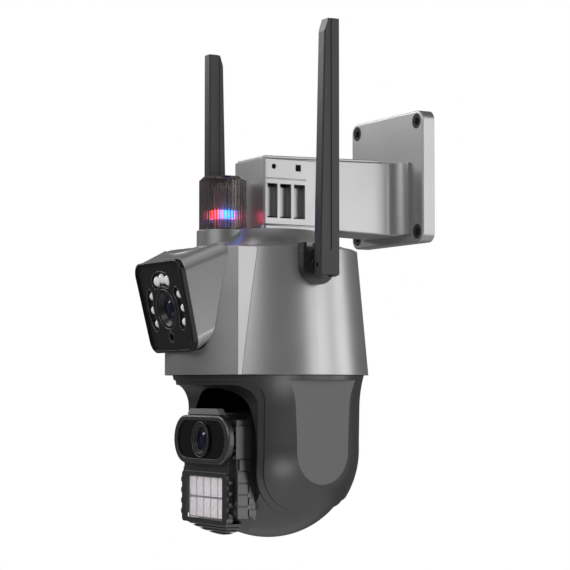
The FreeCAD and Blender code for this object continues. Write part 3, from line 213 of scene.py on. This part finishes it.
def clear(name, colour, deep, rough, ior):
    """Transparent plastic or glass, clouded between two colours."""
    made, tree, shader, where = new_material(name)
    cloud = noise(tree, where, 60.0)
    tree.links.new(ramp(tree, cloud, deep, colour), shader.inputs["Base Color"])
    shader.inputs["Roughness"].default_value = rough
    shader.inputs["Transmission Weight"].default_value = 1.0
    shader.inputs["IOR"].default_value = ior
    return made


def coated_glass():
    """Dark lens glass with a blue coating in broad soft patches."""
    made, tree, shader, where = new_material("coated_glass")
    broad = noise(tree, where, 45.0)
    coating = ramp(tree, broad, (0.003, 0.004, 0.010), (0.012, 0.016, 0.045))
    tree.links.new(coating, shader.inputs["Base Color"])
    shader.inputs["Roughness"].default_value = 0.03
    shader.inputs["Specular IOR Level"].default_value = 0.45
    return made


def paint_nodes(shell):
    """One material for every CAD node, by what it's made of; shell is the graphite of the dark shells."""
    silver, satin, gloss = silver_paint(), black_satin(), black_gloss()
    aerial, screw, dark_screw = aerial_plastic(), steel(), dark_steel()
    brass, gear, board, white = bronze(), acetal(), solder_mask(), white_plastic()
    glass = coated_glass()
    chosen = {
        silver: ["wall_plate", "bracket_arm", "arm_lid", "vent_cover", "dome_cap", "upper_housing",
                 "front_panel", "pod_shell", "strobe_collar"],
        shell: ["yoke_shell", "head_shell", "head_face", "cooling_cheeks", "lamp_frame", "lens_bezel"],
        satin: ["pod_bezel", "vent_speaker", "pan_chassis", "slip_ring", "zoom_lens_barrel",
                "pod_lens_barrel"],
        gloss: ["lens_window", "pod_sensor"],
        # The aerial bases are dark pads on the housing, partly a real mount and partly painted shade: the
        # pad covers the area where the aerial shades the housing.
        aerial: [f"aerial_{what}_{side}" for what in ("base", "knuckle", "blade")
                 for side in ("left", "right")],
        screw: ["housing_screws", "shaft_screws", "head_screws", "pan_motor", "tilt_motor", "tilt_axles",
                "pan_shaft"],
        dark_screw: ["pod_screws"],
        rubber(): ["plate_grommets"],
        brass: ["pan_bearing", "tilt_bushes"],
        gear: ["pan_gear", "pan_pinion", "tilt_gear", "tilt_pinion"],
        board: ["main_board", "pod_boards", "zoom_sensor_board", "lamp_board"],
        chip_black(): ["board_chips"],
        white: ["strobe_board"],
        glass: ["pod_lens_glass", "zoom_lens_glass"],
        mirror_cups(): ["lamp_reflectors"],
        brow_grey(): ["brow_plate"],
        clear("smoky_clear", (0.62, 0.57, 0.56), (0.46, 0.41, 0.40), 0.06, 1.42): ["strobe_lens"],
        clear("window_clear", (0.97, 0.98, 1.0), (0.97, 0.98, 1.0), 0.02, 1.45): ["lamp_window"],
        lit("lamp_white", (1.0, 0.97, 0.93), 1.2, (0.9, 0.86, 0.8)): ["lamp_chips"],
        lit("lamp_pearl", (1.0, 1.0, 0.97), 0.15, (0.6, 0.6, 0.56)): ["pod_lamps"],
        lit("lamp_red", (1.0, 0.05, 0.03), 9.0, (0.7, 0.01, 0.01)): ["strobe_lamps_red"],
        lit("lamp_blue", (0.03, 0.25, 1.0), 10.0, (0.01, 0.08, 0.8)): ["strobe_lamps_blue"],
    }
    for material, names in chosen.items():
        for name in names:
            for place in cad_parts[name].material_slots:
                place.material = material


# ---------------------------------------------------------------- small moulded details

def new_piece(name, mesh, material, body):
    """A finished mesh as a smooth piece that moves with a body."""
    for face in mesh.polygons:
        face.use_smooth = True
    mesh.materials.append(material)
    made = bpy.data.objects.new(name, mesh)
    bpy.context.collection.objects.link(made)
    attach(made, body)


def ridges(name, loops, radius, material, body):
    """Thin round ridges, each along a closed loop of points."""
    curve = bpy.data.curves.new(name, "CURVE")
    curve.dimensions = "3D"
    curve.bevel_depth = radius
    curve.bevel_resolution = 3
    for points in loops:
        line = curve.splines.new("POLY")
        line.points.add(len(points) - 1)
        for place, point in zip(line.points, points):
            place.co = (*point, 1.0)
        line.use_cyclic_u = True
    helper = bpy.data.objects.new(name, curve)
    bpy.context.collection.objects.link(helper)
    mesh = bpy.data.meshes.new_from_object(helper.evaluated_get(bpy.context.evaluated_depsgraph_get()))
    bpy.data.objects.remove(helper)
    new_piece(name, mesh, material, body)


def on_pod(x, z, depth=0.0):
    """A place on the pod's tilted face: sideways, up, and depth behind its surface."""
    local = Vector((x, POD_FACE + depth, z))
    return POD_CENTRE + Matrix.Rotation(POD_TILT, 3, "X") @ local


def on_head(x, height, forward):
    """A place on the head, level: height above the tilt axis and forward of it."""
    return Vector((x, -AXIS_REACH - forward, -TILT_DEPTH + height))


def arc(radius, start, end, steps, centre=(0.0, 0.0)):
    """Points (x, z) from one angle to another round a centre, both ends included; angles in degrees."""
    points = []
    for i in range(steps + 1):
        turn = math.radians(start + (end - start) * i / steps)
        points.append((centre[0] + radius * math.cos(turn), centre[1] + radius * math.sin(turn)))
    return points


def circle(radius, count=48, centre=(0.0, 0.0)):
    """Points (x, z) round a circle."""
    return arc(radius, 0.0, 360.0, count, centre)[:-1]


def bent_slot(radius, half_wide, middle, half_turn):
    """Outline (x, z) of a rounded slot that follows a circle; angles in degrees."""
    first, last = middle - half_turn, middle + half_turn
    first_end = arc(radius, first, last, 1)[0]
    last_end = arc(radius, first, last, 1)[1]
    outer = arc(radius + half_wide, first, last, 12)
    far_cap = arc(half_wide, last, last + 180, 8, last_end)[1:-1]
    inner = arc(radius - half_wide, last, first, 12)
    near_cap = arc(half_wide, first + 180, first + 360, 8, first_end)[1:-1]
    return outer + far_cap + inner + near_cap


def pod_details(material):
    """Raised lips round the lens, the sensor and the three groups of lamps."""
    slots = [bent_slot(0.0208, 0.0052, 90, 23), bent_slot(0.0224, 0.0042, 0, 28),
             bent_slot(0.0224, 0.0042, 180, 28), circle(0.0136)]
    sensor = circle(0.0036, 24, (0.0, -POD_SENSOR_DROP))
    loops = [[on_pod(x, z) for x, z in outline] for outline in slots + [sensor]]
    ridges("pod_face_lips", loops, 0.00035, material, "mount")
    rings = [[on_pod(x, z, depth) for x, z in circle(radius)]
             for radius, depth in ((0.0108, 0.0009), (0.0096, 0.0022))]
    ridges("pod_lens_rings", rings, 0.0003, material, "mount")


def zoom_details(material):
    """Rings stepping down inside the mouth of the zoom lens."""
    rings = []
    for radius, forward in ((0.0118, 0.0530), (0.0096, 0.0527), (0.0088, 0.0515)):
        rings.append([on_head(x, LENS_HEIGHT + z, forward) for x, z in circle(radius)])
    ridges("zoom_lens_rings", rings, 0.00035, material, "head")


def pillow(wide, tall, rise, centre):
    """Closed upright lens round a centre: domed in front, flat behind, as points and faces."""
    count = 8
    row = count + 1
    sheet = row * row
    points, faces = [], []
    for front in (True, False):
        for j in range(row):
            for i in range(row):
                u, v = 2 * i / count - 1, 2 * j / count - 1
                swell = rise * (1 - u ** 4) * (1 - v ** 4) if front else -rise
                points.append(centre + Vector((u * wide / 2, -swell, v * tall / 2)))
    for j in range(count):
        for i in range(count):
            near = j * row + i
            far = near + sheet
            faces.append((near, near + 1, near + row + 1, near + row))
            faces.append((far, far + row, far + row + 1, far + 1))
    rim = list(range(count))
    rim += [j * row + count for j in range(count)]
    rim += [count * row + i for i in range(count, 0, -1)]
    rim += [j * row for j in range(count, 0, -1)]
    for here, after in zip(rim, rim[1:] + rim[:1]):
        faces.append((after, here, here + sheet, after + sheet))
    return points, faces


def lamp_optics():
    """Milky moulded lenses over the lamps, two rows of five."""
    points, faces = [], []
    for line in range(LAMP_ROWS):
        for column in range(LAMP_COLUMNS):
            x = LAMP_PITCH * (column - (LAMP_COLUMNS - 1) / 2)
            centre = on_head(x, -0.0244 - LAMP_ROW_DROP * line, 0.0463)
            more, cells = pillow(0.0096, 0.0130, 0.0005, centre)
            faces += [tuple(index + len(points) for index in cell) for cell in cells]
            points += more
    mesh = bpy.data.meshes.new("lamp_optics")
    mesh.from_pydata(points, [], faces)
    milky = lit("lamp_milk", (1.0, 0.95, 0.96), 0.5, (0.62, 0.56, 0.57))
    new_piece("lamp_optics", mesh, milky, "head")


# ---------------------------------------------------------------- floor, light and camera

def studio_floor():
    """Round pale floor well below the object."""
    bpy.ops.mesh.primitive_circle_add(vertices=96, radius=0.9, fill_type="NGON", location=(0, -0.1, -0.8))
    floor = bpy.context.object
    floor.name = "studio_floor"
    made, tree, shader, where = new_material("floor_white")
    cloud = noise(tree, where, 2.0)
    tree.links.new(ramp(tree, cloud, (0.93, 0.93, 0.93), (0.95, 0.95, 0.95)), shader.inputs["Base Color"])
    shader.inputs["Roughness"].default_value = 0.9
    floor.data.materials.append(made)


def outward(azimuth, elevation):
    """Direction from the object: azimuth 0 is its front, and elevation is upwards."""
    level = math.cos(elevation)
    return Vector((math.sin(azimuth) * level, -math.cos(azimuth) * level, math.sin(elevation)))


def softbox(name, azimuth, elevation, distance, wide, tall, power):
    """Area light on a sphere round the object, facing it; angles in degrees."""
    lamp = bpy.data.lights.new(name, "AREA")
    lamp.shape = "RECTANGLE"
    lamp.size, lamp.size_y = wide, tall
    lamp.energy = power
    holder = bpy.data.objects.new(name, lamp)
    bpy.context.collection.objects.link(holder)
    towards = outward(math.radians(azimuth), math.radians(elevation))
    holder.location = Vector((0, -AXIS_REACH, -0.1)) + towards * distance
    holder.rotation_mode = "QUATERNION"
    holder.rotation_quaternion = towards.to_track_quat("Z", "Y")


def studio_world():
    """White to look at, a softer grey as light."""
    world = bpy.data.worlds.new("studio")
    world.use_nodes = True
    tree = world.node_tree
    seen = tree.nodes["Background"]
    seen.inputs["Color"].default_value = (1, 1, 1, 1)
    seen.inputs["Strength"].default_value = 1.0
    lights = tree.nodes.new("ShaderNodeBackground")
    lights.inputs["Color"].default_value = (1, 1, 1, 1)
    lights.inputs["Strength"].default_value = 0.12
    path = tree.nodes.new("ShaderNodeLightPath")
    mix = tree.nodes.new("ShaderNodeMixShader")
    tree.links.new(path.outputs["Is Camera Ray"], mix.inputs[0])
    tree.links.new(lights.outputs[0], mix.inputs[1])
    tree.links.new(seen.outputs[0], mix.inputs[2])
    tree.links.new(mix.outputs[0], tree.nodes["World Output"].inputs["Surface"])
    bpy.context.scene.world = world


def camera():
    """Camera at the front left of the object, a little below its middle."""
    data = bpy.data.cameras.new("camera")
    data.lens, data.sensor_width = EYE_LENS, EYE_SENSOR
    data.clip_start, data.clip_end = 0.05, 100.0
    holder = bpy.data.objects.new("camera", data)
    bpy.context.collection.objects.link(holder)
    back = outward(EYE_AZIMUTH, EYE_ELEVATION)
    right = Vector((math.cos(EYE_AZIMUTH), math.sin(EYE_AZIMUTH), 0.0))
    turn = Matrix((right, back.cross(right), back)).transposed()
    holder.matrix_world = Matrix.Translation(EYE) @ turn.to_4x4()
    bpy.context.scene.camera = holder


graphite = black_shell()
paint_nodes(graphite)
pod_details(graphite)
zoom_details(graphite)
lamp_optics()
studio_floor()
studio_world()
softbox("right_box", 122, 3, 1.5, 0.7, 1.6, 6.4)
softbox("rear_right_box", 156, 0, 1.5, 0.6, 1.4, 5.0)
softbox("low_side_box", 80, -24, 1.5, 0.6, 0.3, 2.0)
softbox("left_box", -58, 32, 1.5, 0.9, 0.7, 9.0)
softbox("front_box", 22, 27, 1.6, 1.2, 0.5, 9.0)
softbox("top_box", 60, 75, 1.6, 1.2, 1.2, 2.5)
camera()
bpy.context.scene.view_settings.view_transform = "Standard"
